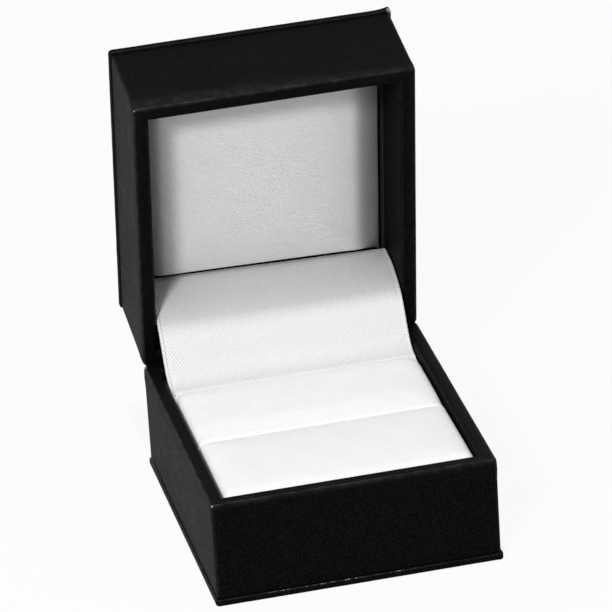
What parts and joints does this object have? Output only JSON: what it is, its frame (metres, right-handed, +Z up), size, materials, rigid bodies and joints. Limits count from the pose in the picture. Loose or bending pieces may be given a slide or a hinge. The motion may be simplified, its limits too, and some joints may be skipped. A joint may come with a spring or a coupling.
{
  "type": "jewelry gift box",
  "caption": "Hinged ring box in black leatherette, shown open, with a slotted white ring cushion, a satin lid pad and a satin flap over a sprung snap hinge.",
  "frame": {"origin": "middle of the base's underside, on the surface that the box stands on", "axes": "+X to the right seen from the front, +Y towards the hinge at the back, +Z up"},
  "size_m": [0.0488, 0.071, 0.0739],
  "materials": {
    "leatherette": "satin",
    "moulded_shell": "matte",
    "greyboard": "matte",
    "foam": "matte",
    "velvet": "matte",
    "satin": "satin",
    "steel": "satin"
  },
  "bodies": {
    "base": {"base_frame": "moulded_shell", "base_wrap": "leatherette", "bottom_board": "greyboard", "bottom_wrap": "leatherette", "cushion_board": "greyboard", "front_cushion_foam": "foam", "front_cushion_cover": "velvet", "rear_cushion_foam": "foam", "rear_cushion_cover": "velvet", "base_hinge_leaf": "steel", "base_rivets": "steel", "hinge_pin": "steel", "hinge_flap": "satin", "flap_card": "greyboard"},
    "spring": {"hinge_spring": "steel"},
    "lid": {"lid_frame": "moulded_shell", "lid_wrap": "leatherette", "top_board": "greyboard", "top_wrap": "leatherette", "lid_pad_board": "greyboard", "lid_pad_foam": "foam", "lid_pad_cover": "satin", "lid_hinge_leaf": "steel", "lid_rivets": "steel"}
  },
  "joints": [
    {"name": "lid_hinge", "type": "hinge", "parent": "base", "child": "lid", "pos_m": [0, 0.026, 0.0189], "axis": [1, 0, 0], "range_deg": [0, 80], "deforming": ["hinge_flap", "flap_card"]},
    {"name": "spring_swing", "type": "hinge", "parent": "base", "child": "spring", "pos_m": [0, 0.02457, 0.01498], "axis": [1, 0, 0], "range_deg": [0, 40]}
  ],
  "couplings": [
    {"joint": "spring_swing", "follows": "lid_hinge", "ratio": 0.5}
  ]
}
